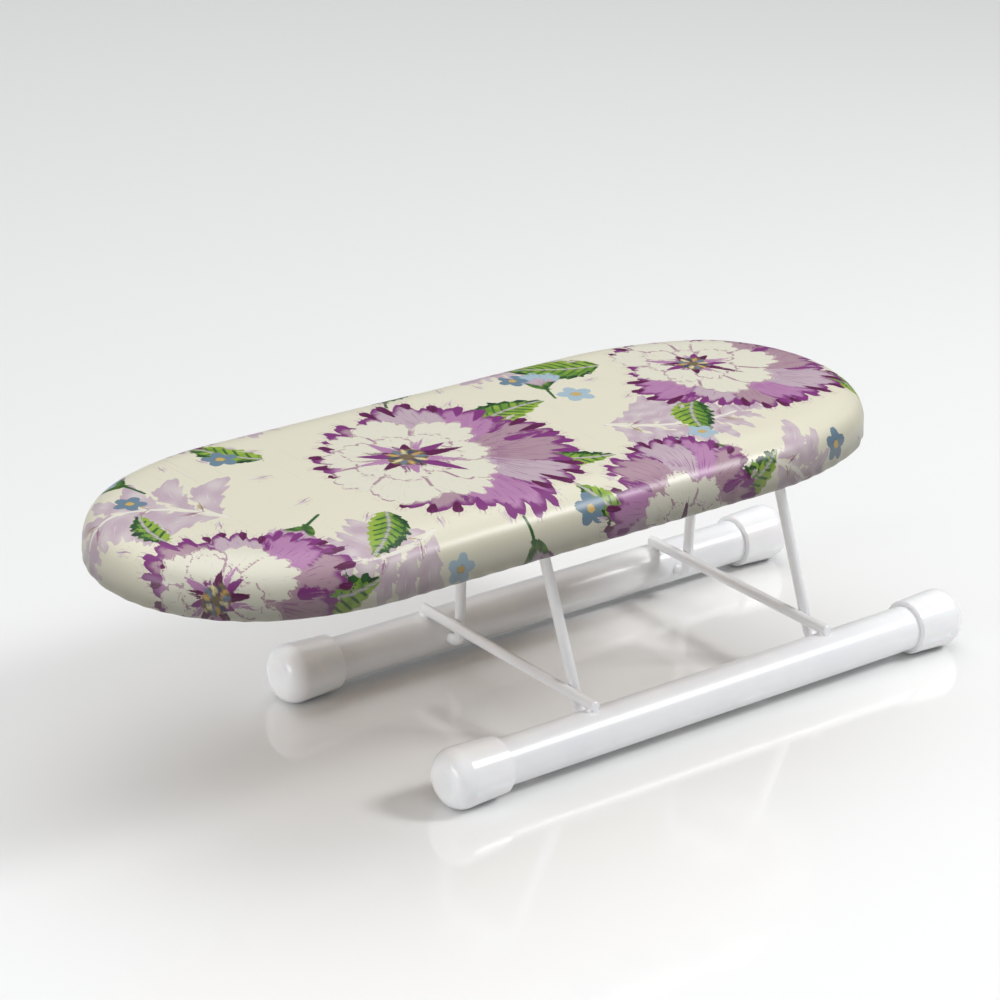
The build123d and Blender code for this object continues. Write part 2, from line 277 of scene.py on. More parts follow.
def coverSurface():
    # grid of points, one column per place round the outline and one row per place along the section:
    # point = outline - inset * outward normal, raised to the section's height
    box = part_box("cover")
    plan = planOutline(box)
    pole = poleLine(plan)
    rows = coverRows(box)
    top = box[1][2] / mm
    shoulder = board["shoulder"]
    flatX, flatY = plan["x"] - shoulder * plan["nx"], plan["y"] - shoulder * plan["ny"]
    share = np.linspace(0, 1, board["topRows"])[:, None]
    topX, topY = pole + (flatX - pole) * share, flatY * share
    topZ = np.full_like(topX, top)
    inset, height, along = (rows[:, i][:, None] for i in range(3))
    wallX, wallY = plan["x"] - inset * plan["nx"], plan["y"] - inset * plan["ny"]
    wallZ = height + 0 * wallX
    sheetX = np.vstack([topX, flatX + along * plan["nx"]])
    sheetY = np.vstack([topY, flatY + along * plan["ny"]])
    # gathers grow from nothing at the foot of the roll to full height at the hem
    total = plan["s"][-1] + plan["s"][1]
    wave = gatherWave(plan["s"], total, 5)
    start = along[board["rollRows"] - 1]
    grow = np.clip((along - start) / (along.max() - start), 0, 1)
    lift = board["gatherDepth"] * (np.tanh(wave) + 0.4) * np.clip(grow * 2.2 - 0.6, 0, 1)
    pull = 0.25 * wave * np.sin(math.pi * np.clip(grow * 2.4, 0, 1))
    wallX, wallY, wallZ = wallX - pull * plan["nx"], wallY - pull * plan["ny"], wallZ + lift
    # the inside of the padding, round the panel and closed over it
    linerInset = np.array([board["hem"], board["panelInset"], board["panelInset"]])[:, None]
    linerZ = np.array([board["panelBottom"], board["panelBottom"], board["panelTop"]])[:, None]
    linerX, linerY = plan["x"] - linerInset * plan["nx"], plan["y"] - linerInset * plan["ny"]
    linerZ = linerZ + 0 * linerX
    close = np.linspace(1, 0, board["closeRows"] + 1)[1:, None]
    closeX = pole + (linerX[-1] - pole) * close
    closeY = linerY[-1] * close
    closeZ = np.full_like(closeX, board["panelTop"])
    x = np.vstack([topX, wallX, linerX, closeX])
    y = np.vstack([topY, wallY, linerY, closeY])
    z = np.vstack([topZ, wallZ, linerZ, closeZ])
    lining = np.repeat(np.vstack([sheetX[-1:], sheetY[-1:]])[:, None], len(linerX) + len(closeX), 1)
    sheet = np.stack([np.vstack([sheetX, lining[0]]), np.vstack([sheetY, lining[1]])], -1)
    # painted shade: a dark tone painted down the cover's side in place of the shade it lies in, deepest just
    # above the hem; the hem and the inside under the board take 0.6 of it
    depth = np.clip((rows[:, 2] - 19) / 20, 0, 1) * np.interp(rows[:, 0], [2, 8], [1, 0.6])
    inside = board["linerRows"] + board["closeRows"]
    depth = np.concatenate([np.zeros(board["topRows"]), depth, np.full(inside, 0.6)])
    return np.stack([x, y, z], -1), sheet, np.repeat(depth[:, None], x.shape[1], 1)


def gridMesh(name, points):
    # quads between neighbouring rows and columns, the last column joined to the first
    rows, columns = points.shape[:2]
    index = np.arange(rows * columns).reshape(rows, columns)
    right = np.roll(index, -1, 1)
    quads = np.stack([index[:-1], index[1:], right[1:], right[:-1]], -1).reshape(-1, 4)
    mesh = bpy.data.meshes.new(name)
    mesh.vertices.add(rows * columns)
    mesh.vertices.foreach_set("co", (points.reshape(-1, 3) * mm).astype(np.float32).ravel())
    mesh.loops.add(quads.size)
    mesh.loops.foreach_set("vertex_index", quads.astype(np.int32).ravel())
    mesh.polygons.add(len(quads))
    mesh.polygons.foreach_set("loop_start", np.arange(0, quads.size, 4, dtype=np.int32))
    mesh.update(calc_edges=True)
    piece = bpy.data.objects.new(name, mesh)
    bpy.context.scene.collection.objects.link(piece)
    return piece


def mergeDoubles(mesh):
    # points closer than 0.02 mm are joined, by distance alone
    # where columns meet on the middle line their points become one, so the top has no seam
    work = bmesh.new()
    work.from_mesh(mesh)
    bmesh.ops.remove_doubles(work, verts=work.verts, dist=0.02 * mm)
    work.to_mesh(mesh)
    work.free()


drape = {
    "frames": 20, "pressure": 0.35, "stiffness": 80.0, "bending": 0.5, "spare": 0.002,
    "most": 1.3,         # mm, the whole movement is scaled down to this
    "columnStep": 5, "blurPasses": 2, "blurColumns": 3,
}


def drapeShift(points):
    # how far each point of the cover moves when the cotton is stretched over its filling: a coarse copy
    # is pressed out from inside with its hem held still, and its shift, scaled so that the largest is
    # drape["most"], is read back on to the grid
    wallEnd = len(points) - board["linerRows"] - board["closeRows"]
    topEnd = board["topRows"]
    sideEnd = topEnd + board["rollRows"] + board["sideRows"] - 1
    rows = np.unique(np.concatenate([np.arange(0, topEnd, 5), np.arange(topEnd - 1, sideEnd, 3),
                                     np.arange(sideEnd, wallEnd, 4), [wallEnd - 1]]))
    coarse = points[rows][:, ::drape["columnStep"]]
    rounded = np.round(coarse.reshape(-1, 3), 1)
    _, first, pick = np.unique(rounded, axis=0, return_index=True, return_inverse=True)
    pick = pick.reshape(coarse.shape[:2])
    right = np.roll(pick, -1, 1)
    quads = np.stack([pick[:-1], pick[1:], right[1:], right[:-1]], -1).reshape(-1, 4)
    mesh = bpy.data.meshes.new("drape")
    mesh.from_pydata((coarse.reshape(-1, 3)[first] * mm).tolist(), [], quads.tolist())
    mesh.validate()
    piece = bpy.data.objects.new("drape", mesh)
    bpy.context.scene.collection.objects.link(piece)
    hem = piece.vertex_groups.new(name="hem")
    hem.add(np.unique(pick[-3:]).tolist(), 1.0, "REPLACE")
    modifier = piece.modifiers.new("cloth", "CLOTH")
    cotton = modifier.settings
    cotton.quality = 8
    cotton.mass = 0.15
    for kind in ("tension", "compression", "shear"):
        setattr(cotton, kind + "_stiffness", drape["stiffness"])
    cotton.bending_stiffness = drape["bending"]
    cotton.shrink_min = -drape["spare"]
    cotton.vertex_group_mass = "hem"
    cotton.use_pressure = True
    cotton.uniform_pressure_force = drape["pressure"]
    cotton.effector_weights.gravity = 0
    modifier.collision_settings.use_collision = False
    before, after = (np.empty(len(mesh.vertices) * 3, np.float32) for _ in range(2))
    mesh.vertices.foreach_get("co", before)
    scene = bpy.context.scene
    for frameNumber in range(1, drape["frames"] + 1):
        scene.frame_set(frameNumber)
    moved = piece.evaluated_get(bpy.context.evaluated_depsgraph_get())
    moved.data.vertices.foreach_get("co", after)
    bpy.data.objects.remove(piece)
    scene.frame_set(1)
    shift = ((after - before) / mm).reshape(-1, 3)[pick]
    reach = np.linalg.norm(shift, axis=-1).max()
    print("drape moved", round(float(reach), 2), "mm before its limit")
    shift = shift * min(1.0, drape["most"] / reach)
    # between the coarse points: straight lines along rows and columns, then smoothed
    columns = np.arange(points.shape[1])
    wrapped = np.concatenate([shift, shift[:, :1]], 1)
    place = columns / drape["columnStep"]
    low = place.astype(int)
    part = (place - low)[None, :, None]
    wide = wrapped[:, low] * (1 - part) + wrapped[:, low + 1] * part
    place = np.interp(np.arange(wallEnd), rows, np.arange(len(rows)))
    low = np.minimum(place.astype(int), len(rows) - 2)
    part = (place - low)[:, None, None]
    full = wide[low] * (1 - part) + wide[low + 1] * part
    reachEach = drape["blurColumns"]
    for _ in range(drape["blurPasses"]):
        full = sum(np.roll(full, step, 1) for step in range(-reachEach, reachEach + 1)) / (2 * reachEach + 1)
        padded = np.concatenate([full[:1], full[:1], full, full[-1:], full[-1:]])
        full = sum(padded[step:step + wallEnd] for step in range(5)) / 5
    still = np.zeros_like(points)
    still[:wallEnd] = full
    return still


# ---- the printed flowers: shapes are worked out as a distance inside their edge, in mm on the flat cloth

ink = {
    "cream": "#e4e1cf", "petal": "#ece8dd", "lilac": "#c3aeb9", "paleLilac": "#d6cacb", "mauve": "#b0919d",
    "rose": "#b783ae", "violet": "#80307a", "plum": "#5c0647", "olive": "#796b49",
    "brown": "#6f5a50", "tan": "#b9ab86", "lime": "#96b441", "leaf": "#628f30", "moss": "#2f5e28",
    "bottle": "#0b3320", "blue": "#6d8799", "slate": "#344a63", "sky": "#a9c0cc",
    "yellow": "#e6dba2", "gold": "#cfae62", "ash": "#bdb6b4",
}
layerNames = ("wash", "petals", "bloom", "marks", "feather", "lines")


def inkColour(name):
    # an ink as linear colour times 0.86, since dyed cloth returns less light than its swatch
    return tuple(0.86 * part for part in linearColour(ink[name]))


def blankCloth(x, y):
    # unprinted cloth: every layer's edge is 9 mm outside, so nothing shows
    cloth = {"x": x, "y": y, "flow": np.stack([y * 0.2, x, 0 * x], -1)}
    for name in layerNames:
        cloth[name] = {"ink": np.zeros((x.size, 3)) + inkColour("cream"), "edge": np.full(x.size, -9.0)}
    return cloth


def stamp(cloth, layer, shape, colour, second=None, share=None, vein=0.0):
    # lays a shape over its layer and cuts it out of the layers above: edge = max(edge, reach) here and
    # min(edge, -reach) above; ink = colour * (1 - share) + second * share
    reach, along, across = shape
    target = cloth[layer]
    near = (reach > -3.0) & ((reach > 0) | (reach > target["edge"]))
    mixed = np.array(inkColour(colour))[None]
    if second:
        part = np.clip(share, 0, 1)[:, None]
        mixed = mixed * (1 - part) + np.array(inkColour(second))[None] * part
    target["ink"][near] = np.broadcast_to(mixed, target["ink"].shape)[near]
    target["edge"] = np.maximum(target["edge"], reach)
    for name in layerNames[layerNames.index(layer) + 1:]:
        cloth[name]["edge"] = np.minimum(cloth[name]["edge"], -reach)
    cloth["flow"][near] = np.stack([along, across, np.zeros_like(along) + vein], -1)[near]


def ruffle(angle, seed, fineness):
    # uneven scallops round a turn: a few sines with seeded phases
    rng = np.random.default_rng(seed)
    waves = [np.abs(np.sin(angle * k * fineness / 2 + rng.uniform(0, 6.3))) / k ** 0.5 for k in (1, 1.7, 3.1)]
    return sum(waves) / 2.2 - 0.5


def blob(cloth, cx, cy, rx, ry, turn=0, lobes=5, depth=0.2, frill=0.05, seed=1):
    # an ellipse whose radius is scalloped into lobes and then frilled
    a = math.radians(turn)
    dx, dy = cloth["x"] - cx, cloth["y"] - cy
    u, v = (dx * math.cos(a) + dy * math.sin(a)) / rx, (dy * math.cos(a) - dx * math.sin(a)) / ry
    r, angle = np.hypot(u, v), np.arctan2(v, u)
    rim = 1 + depth * ruffle(angle, seed, lobes) + frill * ruffle(angle, seed + 7, 19)
    size = (rx * ry) ** 0.5
    return (rim - r) * min(rx, ry), r * size, angle * size * 0.7


def leafShape(cloth, x0, y0, x1, y1, width, bend=0.0, teeth=0, bite=0.0, fat=0.5):
    # a blade from foot to tip: its half width rises and falls along a midrib bent like a bow
    length = math.hypot(x1 - x0, y1 - y0)
    ux, uy = (x1 - x0) / length, (y1 - y0) / length
    dx, dy = cloth["x"] - x0, cloth["y"] - y0
    t = (dx * ux + dy * uy) / length
    inside = np.clip(t, 0, 1)
    q = dy * ux - dx * uy - bend * 4 * inside * (1 - inside)
    half = width / 2 * np.sin(math.pi * inside ** (0.693 / -math.log(fat))) ** 0.8
    tooth = bite * ((t * teeth + 0.15 * np.sin(q)) % 1.0 - 0.5) if teeth else 0.0
    reach = np.minimum(half + tooth - np.abs(q), np.minimum(t, 1 - t) * length + 0.5)
    return reach, t * length, q


def stroke(cloth, points, start, end=0.6):
    # a brush line along a bent curve through two or three points, tapering from start to end, half widths
    p = np.array(points if len(points) == 3 else [points[0], np.mean(points, 0), points[1]], float)
    t = np.linspace(0, 1, 17)[:, None]
    control = 2 * p[1] - (p[0] + p[2]) / 2
    curve = (1 - t) ** 2 * p[0] + 2 * t * (1 - t) * control + t ** 2 * p[2]
    reach, along = np.full(cloth["x"].size, -9.0), np.zeros(cloth["x"].size)
    across = np.zeros(cloth["x"].size)
    low, high = curve.min(0) - 9, curve.max(0) + 9
    near = np.flatnonzero((cloth["x"] > low[0]) & (cloth["x"] < high[0]) &
                          (cloth["y"] > low[1]) & (cloth["y"] < high[1]))
    here = np.stack([cloth["x"][near], cloth["y"][near]], -1)[:, None]
    leg = (curve[1:] - curve[:-1])[None]
    back = here - curve[None, :-1]
    k = np.clip((back * leg).sum(-1) / (leg ** 2).sum(-1), 0, 1)
    gap = back - leg * k[..., None]
    distance = np.hypot(gap[..., 0], gap[..., 1])
    best = distance.argmin(1)
    rows = np.arange(len(near))
    place = (best + k[rows, best]) / 16
    width = start + (end - start) * place
    reach[near] = width - distance[rows, best]
    side = leg[0, best, 0] * gap[rows, best, 1] - leg[0, best, 1] * gap[rows, best, 0]
    along[near], across[near] = place * 20, np.sign(side) * distance[rows, best]
    return reach, along, across


def fan(cloth, x, y, heading, reach, spread, fingers=3, notch=0.12, start=0.0, seed=1):
    # a petal: a sector round its foot, |angle| under spread, whose rim is cut into rounded fingers:
    # rim = reach * (1 - 0.22 s^2 - notch * (1 - finger) - a fine fringe), s running -1 to 1 across it
    dx, dy = cloth["x"] - x, cloth["y"] - y
    r = np.hypot(dx, dy)
    turned = (np.arctan2(dy, dx) - math.radians(heading) + math.pi) % (2 * math.pi) - math.pi
    s = turned / math.radians(spread)
    offset = 0 if fingers % 2 else math.pi / 2
    finger = np.abs(np.cos(s * fingers * math.pi / 2 + offset))
    fringe = 0.05 * (ruffle(turned, seed, 23) + 0.5)
    rim = reach * (1 - 0.22 * s ** 2 - notch * (1 - finger ** 0.6) - fringe)
    side = (1 - np.abs(s)) * math.radians(spread) * r + 0.6
    inside = np.minimum(np.minimum(rim - r, side), r - start + 0.5)
    return inside, r, turned * reach * 0.7, r / np.maximum(rim, 1)


def petal(cloth, layer, shape, foot, body, tip=None, footEnd=0.25, tipStart=0.9,
          vein=0.6, veinEnd=0.75, base=0.35):
    # a fan inked from its foot through its body to its tip; veins are vein * (base + 1.1 * (1 - t / veinEnd))
    reach, along, across, t = shape
    uneven = ripple(cloth, 2.2, 61) * 0.35
    if tip is None:
        second, share = foot, np.clip((footEnd - t) / 0.16 + uneven, 0, 1)
    else:
        second, share = tip, np.clip((t - tipStart) / 0.06 + uneven * 1.6, 0, 1)
    strength = vein * (base + 1.1 * np.clip(1 - t / veinEnd, 0, 1))
    stamp(cloth, layer, (reach, along, across), body, second, share, strength)


def creamPetal(cloth, x, y, heading, reach, spread, fingers, start, seed):
    # bare cloth cut out of what lies behind, with a broken line 1.7 mm wide at its rim and three
    # strokes running out from its foot
    shape = fan(cloth, x, y, heading, reach, spread, fingers, 0.1, start, seed)
    petal(cloth, "bloom", shape, "cream", "cream", vein=0.62, veinEnd=0.55, base=0.12)
    rim = np.minimum(shape[0], 1.7 - shape[0]) - 0.15
    stamp(cloth, "feather", (rim, shape[2], shape[0] * 0.6), "mauve", vein=0.2)
    for turn, far in ((0.0, 0.45), (-0.5, 0.55), (0.5, 0.55)):
        mark = ring(x, y, heading + turn * spread, start + reach * 0.12, reach * far)
        tuft(cloth, "feather", *mark, 3.6, "violet")


def tuft(cloth, layer, x0, y0, x1, y1, width, colour, bend=0.0):
    # a brush mark that thins from foot to tip: a blade less 1.5 or 1.6 mm times its share of the length
    reach, along, across = leafShape(cloth, x0, y0, x1, y1, width, bend, fat=0.3)
    place = np.clip(along / math.hypot(x1 - x0, y1 - y0), 0, 1)
    if layer == "feather":
        reach = np.minimum(reach, 1.2) - 0.2 - 1.5 * place
    else:
        reach = reach - 1.6 * place
    stamp(cloth, layer, (reach, along, across), colour, vein=0.5 * (1 - place))


garden = {
    # along and across the board, reach, turn, the way it leans, seed
    "blooms": ((-172, 104, 48, 15, 270, 11), (18, 110, 48, 5, 240, 13), (226, -94, 46, 30, 150, 15),
               (30, -116, 54, 25, 250, 9), (-240, -62, 56, 0, 140, 7), (138, 26, 64, 40, 110, 5),
               (-78, 2, 76, 10, 160, 3)),
    # foot, heading, length, turn of the midrib, seed
    "foliage": ((-196, -10, 120, 92, 95, 21), (36, -18, -38, 92, 60, 22), (-120, -74, -160, 80, -60, 23),
                (86, 74, 160, 70, 50, 24), (190, 60, 40, 70, 60, 25), (96, -88, -20, 70, -50, 26),
                (-100, 84, 150, 60, 40, 27)),
    # foot, heading, length, width, bow of the midrib, seed
    "leaves": ((-26, 14, 12, 58, 26, 5, 31), (-30, -28, -28, 50, 20, -4, 32), (92, 52, 150, 56, 30, 6, 33),
               (100, -16, -122, 46, 22, -4, 34), (178, -22, -50, 44, 20, 5, 35),
               (-140, 40, 118, 44, 20, 4, 36),
               (-208, -84, -8, 48, 22, -5, 37), (-128, -46, -134, 46, 20, 4, 38),
               (-6, -96, 128, 34, 15, 3, 39),
               (60, -100, 24, 44, 18, -4, 40), (-236, -18, 80, 34, 15, 3, 41), (184, 66, 60, 40, 18, 4, 42),
               (-134, 92, 20, 40, 18, 4, 43), (-14, 86, 190, 38, 16, 4, 44)),
    # foot, heading, size, body, tip, seed
    "buds": ((44, 40, 70, 25, "lilac", "sky", 131), (-172, -40, -150, 24, "lilac", "rose", 132),
             (62, -66, -70, 24, "lilac", "mauve", 133), (-216, 52, 100, 26, "sky", "lilac", 134),
             (-40, 72, 60, 22, "rose", "mauve", 135), (-66, -96, -80, 24, "lilac", "violet", 136)),
    # middle, size, turn, ink
    "stars": ((52, 24, 11, 10, "sky"), (36, 58, 9, 40, "blue"), (-186, -58, 10, 20, "sky"),
              (-158, 52, 10, 0, "blue"), (74, -52, 9, 30, "sky"), (-28, -86, 10, 15, "blue"),
              (196, 18, 9, 50, "sky"), (-226, 30, 9, 35, "blue"), (-112, -98, 9, 5, "sky"),
              (150, -84, 10, 25, "blue")),
}


def ring(x, y, angle, near, far):
    # both ends of a mark running outward from (x, y): the point plus near, then far, along the angle
    a = math.radians(angle)
    return x + near * math.cos(a), y + near * math.sin(a), x + far * math.cos(a), y + far * math.sin(a)


def fullBloom(cloth, x, y, size, turn, lean, seed):
    # three rings of petals, evenly turned but for a few random degrees; the outer ring's middle is
    # (x, y) - 0.3 size along the way the flower leans
    rng = np.random.default_rng(seed)
    away = math.radians(lean)
    backX, backY = x - 0.3 * size * math.cos(away), y - 0.3 * size * math.sin(away)
    for k in range(14):
        mark = ring(x, y, turn + 26 * k, size, size * 1.22)
        tuft(cloth, "feather", *mark, 3.4, "paleLilac", 1.5)
    for k in range(10):
        heading, reach = turn + 36 * k + rng.uniform(-9, 9), size * rng.uniform(0.84, 1.08)
        shape = fan(cloth, backX, backY, heading, reach, 25, 4, 0.14, 0, seed + k)
        body = ("mauve", "rose", "lilac")[k % 3]
        petal(cloth, "petals", shape, "rose", body, "violet", vein=0.8)
        for step in (-0.8, -0.35, 0.1, 0.5):
            near = reach * (0.99 - 0.14 * step ** 2)
            mark = ring(backX, backY, heading + 25 * step, near, near * rng.uniform(0.62, 0.84))
            tuft(cloth, "marks", *mark, size * 0.085, ("plum", "violet")[k % 2])
        mark = ring(backX, backY, heading + 18, reach * 0.5, reach * 0.95)
        tuft(cloth, "feather", *mark, 8, "violet")
    for count, far, spread in ((9, 0.72, 24), (7, 0.44, 30)):
        for k in range(count):
            heading = turn + 20 + 360 / count * k + rng.uniform(-8, 8)
            reach = size * far * rng.uniform(0.78, 1.16)
            creamPetal(cloth, x, y, heading, reach, spread, 5, 3, seed + 30 + k)
    for k in range(15):
        mark = ring(x, y, turn + 24 * k + rng.uniform(-7, 7), size * 0.06, size * rng.uniform(0.2, 0.56))
        tuft(cloth, ("marks", "feather")[k % 2], *mark, size * 0.1, ("violet", "rose", "plum")[k % 3])
    heart = blob(cloth, x, y, 0.14 * size, 0.12 * size, turn, 5, 0.2, 0.1, seed)
    stamp(cloth, "marks", heart, "olive", "brown", ripple(cloth, 3, seed) + 0.4)
    for k in range(12):
        mark = ring(x, y, 30 * k + turn, size * 0.05, size * 0.2)
        tuft(cloth, "marks", *mark, 3.4, ("gold", "slate", "yellow", "blue")[k % 4])


def toothedLeaf(cloth, x, y, heading, length, width, bow, seed):
    # light on one side of the midrib and dark on the other; side veins lie where along - 0.9 |across|
    # is a whole number of pitches
    pitch = 6.0
    reach, along, across = leafShape(cloth, *ring(x, y, heading, 0, length), width, bow, 8, 2.6, 0.42)
    share = 0.45 + 1.5 * across / width + ripple(cloth, 5, seed)
    stamp(cloth, "petals", (reach, along, across), "lime", "leaf", share)
    shaded = np.minimum(reach, np.where(across > 0, 3.2 - reach, -9.0)) + ripple(cloth, 3, seed + 50) * 2
    stamp(cloth, "marks", (shaded, along, across), "bottle", "moss", ripple(cloth, 4, seed + 60) + 0.4)
    phase = (along - 0.9 * np.abs(across)) / pitch
    gap = np.abs(phase - np.round(phase)) * pitch * 0.74
    stamp(cloth, "lines", (np.minimum(0.7 - gap, reach - 1.2), along, across), "moss")
    stamp(cloth, "lines", (np.minimum(0.8 - np.abs(across), reach), along, across), "ash")


def lobedFoliage(cloth, x, y, heading, length, curl, seed):
    # the midrib turns by curl over its length; pairs of lobes spring from it, step k of them
    # length * (0.54 - 0.38 k / steps) long
    steps = 7
    ways = heading + curl * np.arange(steps) / steps
    legs = np.stack([np.cos(np.radians(ways)), np.sin(np.radians(ways))], -1) * length / steps
    path = np.vstack([[x, y], [x, y] + np.cumsum(legs, 0)])
    uneven = ripple(cloth, 7, seed) + 0.35
    for k in range(steps):
        size = length * (0.54 - 0.38 * k / steps)
        for side in (-1, 1):
            ends = ring(*path[k], ways[k] + side * (64 - 5 * k), 0, size)
            lobe = leafShape(cloth, *ends, size * 0.34, -side * size * 0.2, 4, 3.4, 0.6)
            stamp(cloth, "wash", lobe, "lilac", "paleLilac", uneven, -0.15)
    end = leafShape(cloth, *path[-2], *(2 * path[-1] - path[-2]), 9, 0, 3, 1.5)
    stamp(cloth, "wash", end, "lilac", vein=-0.15)
    for k in range(0, steps - 1, 2):
        stamp(cloth, "lines", stroke(cloth, path[k:k + 3], 1.0, 0.8), "petal")
        for side in (-1, 1):
            ends = ring(*path[k + 1], ways[k] + side * 52, 3, length * 0.2)
            tuft(cloth, "feather", *ends, 3.4, ("tan", "mauve")[side > 0])


def halfOpenBud(cloth, x, y, heading, size, body, tip, seed):
    # two petals at 25 degrees either side of the heading with one in front, between two narrow sepals
    for step in (-25, 25, 0):
        shape = fan(cloth, x, y, heading + step, size, 21, 3, 0.16, 0, seed + step)
        petal(cloth, "petals", shape, body, body, tip, tipStart=0.62, vein=0.6)
    for step in (-42, 42):
        blade = leafShape(cloth, *ring(x, y, heading + step, -4, size * 0.5), 5, 1.0)
        stamp(cloth, "petals", blade, "leaf", "bottle", ripple(cloth, 3, seed) + 0.5)
    stamp(cloth, "lines", stroke(cloth, [ring(x, y, heading, 0, -16)[2:], (x, y)], 0.8, 1.0), "moss")


def starFlower(cloth, x, y, size, turn, colour):
    # five rounded petals, 72 degrees apart, about a gold middle
    for k in range(5):
        shape = fan(cloth, x, y, turn + 72 * k, size, 33, 1, 0.16, 0, k + 1)
        petal(cloth, "petals", shape, "slate", colour, footEnd=0.3, vein=-0.2)
    stamp(cloth, "marks", blob(cloth, x, y, 0.24 * size, 0.22 * size), "gold")


def ripple(cloth, size, seed):
    # smooth unevenness over the cloth, about -0.5 to 0.5: six sine waves with seeded directions
    rng = np.random.default_rng(seed)
    total = np.zeros(cloth["x"].size)
    for _ in range(6):
        heading, phase = rng.uniform(0, math.pi), rng.uniform(0, 6.3)
        wave = 2 * math.pi / (size * rng.uniform(1.2, 2.8))
        total += np.sin((cloth["x"] * math.cos(heading) + cloth["y"] * math.sin(heading)) * wave + phase)
    return total / 6


def printCloth(sheet):
    # painted from the back forwards: pale foliage, leaves, buds and stars, then the full blooms
    cloth = blankCloth(sheet[:, 0], sheet[:, 1])
    for kind, paint in (("foliage", lobedFoliage), ("leaves", toothedLeaf), ("buds", halfOpenBud),
                        ("stars", starFlower), ("blooms", fullBloom)):
        for motif in garden[kind]:
            paint(cloth, *motif)
        print("printed", len(garden[kind]), kind)
    return cloth


sateen = {
    "ground": ("#d4d0bb", "#dad6c3"), "grain": 1.1 * mm,
    # how far the streaks and the grain tear each layer's edge, in mm
    "torn": {"wash": (1.0, 0.7), "petals": (1.5, 1.0), "bloom": (3.2, 1.2), "marks": (1.8, 1.0),
             "feather": (3.4, 1.0), "lines": (0.6, 0.4)},
    "sharpness": 0.22,                   # mm over which an edge fades, each way
    # vein ink, which sign of the vein strength it answers to, and how much of it shows at most
    "veins": (("#7a2b74", 0.36, 0.62), ("#e8e2da", -0.36, 0.6)),
    # painted shade down the cover's side: its dark tone, and the most of it that shows
    "paintedShadeTone": (0.02, 0.018, 0.012, 1), "paintedShadeMost": 0.66,
    "threads": 0.7 * mm,                 # really 0.25 mm apart, drawn coarser so that they show
}


def sateenCotton():
    # satin-weave cotton, screen printed: a smooth, soft shine, with thread lines only just showing
    material, shader = newMaterial("printedSateenCotton", ink["cream"], Roughness=0.33, IOR=1.5,
                                   Specular_IOR_Level=0.38)

    sheet = addNode(material, "ShaderNodeAttribute", attribute_name="sheet").outputs["Vector"]
    flow = addNode(material, "ShaderNodeAttribute", attribute_name="flow").outputs["Vector"]
    parts = addNode(material, "ShaderNodeSeparateXYZ", {"Vector": flow})
    # streaks run with the brush: the noise is squeezed along the flow and stretched across it
    way = addNode(material, "ShaderNodeVectorMath", {0: flow, 1: (0.07, 0.75, 0.0)}, operation="MULTIPLY")
    streak = addNode(material, "ShaderNodeTexNoise",
                     {"Vector": way.outputs["Vector"], "Scale": 1.0, "Detail": 3.0}).outputs["Fac"]
    grain = addNode(material, "ShaderNodeTexNoise",
                    {"Vector": sheet, "Scale": 1 / sateen["grain"], "Detail": 2.0}).outputs["Fac"]
    dark, light = ((*linearColour(tone), 1) for tone in sateen["ground"])
    colour = addNode(material, "ShaderNodeMix", {"Factor": grain, 6: dark, 7: light},
                     data_type="RGBA").outputs[2]
    for name in layerNames:
        layer = addNode(material, "ShaderNodeAttribute", attribute_name=name)
        byStreak, byGrain = sateen["torn"][name]
        torn = addNode(material, "ShaderNodeMath", {0: streak, 1: byStreak, 2: -byStreak / 2},
                       operation="MULTIPLY_ADD")
        rough = addNode(material, "ShaderNodeMath", {0: grain, 1: byGrain, 2: torn.outputs[0]},
                        operation="MULTIPLY_ADD")
        edge = addNode(material, "ShaderNodeMath", {0: layer.outputs["Alpha"], 1: rough.outputs[0]},
                       operation="ADD")
        fade = sateen["sharpness"]
        cover = addNode(material, "ShaderNodeMapRange",
                        {"Value": edge.outputs[0], "From Min": byGrain / 2 - fade,
                         "From Max": byGrain / 2 + fade}, interpolation_type="SMOOTHSTEP")
        colour = addNode(material, "ShaderNodeMix", {"Factor": cover.outputs["Result"], 6: colour,
                                                     7: layer.outputs["Color"]},
                         data_type="RGBA").outputs[2]
    # veins: thin dark or pale lines running with the petal
    way = addNode(material, "ShaderNodeVectorMath", {0: flow, 1: (0.06, 0.85, 0.0)}, operation="MULTIPLY")
    fine = addNode(material, "ShaderNodeTexNoise",
                   {"Vector": way.outputs["Vector"], "Scale": 1.0, "Detail": 2.0}).outputs["Fac"]
    for tone, gain, most in sateen["veins"]:
        above = addNode(material, "ShaderNodeMath", {0: parts.outputs["Z"], 1: gain, 2: fine},
                        operation="MULTIPLY_ADD")
        lines = addNode(material, "ShaderNodeMapRange",
                        {"Value": above.outputs[0], "From Min": 0.66, "From Max": 0.84, "To Max": most},
                        interpolation_type="SMOOTHSTEP")
        colour = addNode(material, "ShaderNodeMix", {"Factor": lines.outputs["Result"], 6: colour,
                                                     7: (*linearColour(tone), 1)},
                         data_type="RGBA").outputs[2]
    # painted shade: the cover's side is mixed towards a dark tone by the depth attribute, standing in for the
    # shade it lies in
    down = addNode(material, "ShaderNodeAttribute", attribute_name="depth").outputs["Fac"]
    paintedShadeShare = addNode(material, "ShaderNodeMapRange", {"Value": down, "To Max": sateen["paintedShadeMost"]})
    colour = addNode(material, "ShaderNodeMix", {"Factor": paintedShadeShare.outputs["Result"], 6: colour,
                                                 7: sateen["paintedShadeTone"]}, data_type="RGBA").outputs[2]
    link(material, colour, shader.inputs["Base Color"])
    weave = addNode(material, "ShaderNodeTexWave",
                    {"Vector": sheet, "Scale": 1 / sateen["threads"] / 6.28, "Distortion": 0.6},
                    bands_direction="X")
    bump = addNode(material, "ShaderNodeBump",
                   {"Height": weave.outputs["Fac"], "Strength": 0.12, "Distance": 0.05 * mm})
    link(material, bump.outputs["Normal"], shader.inputs["Normal"])
    return material


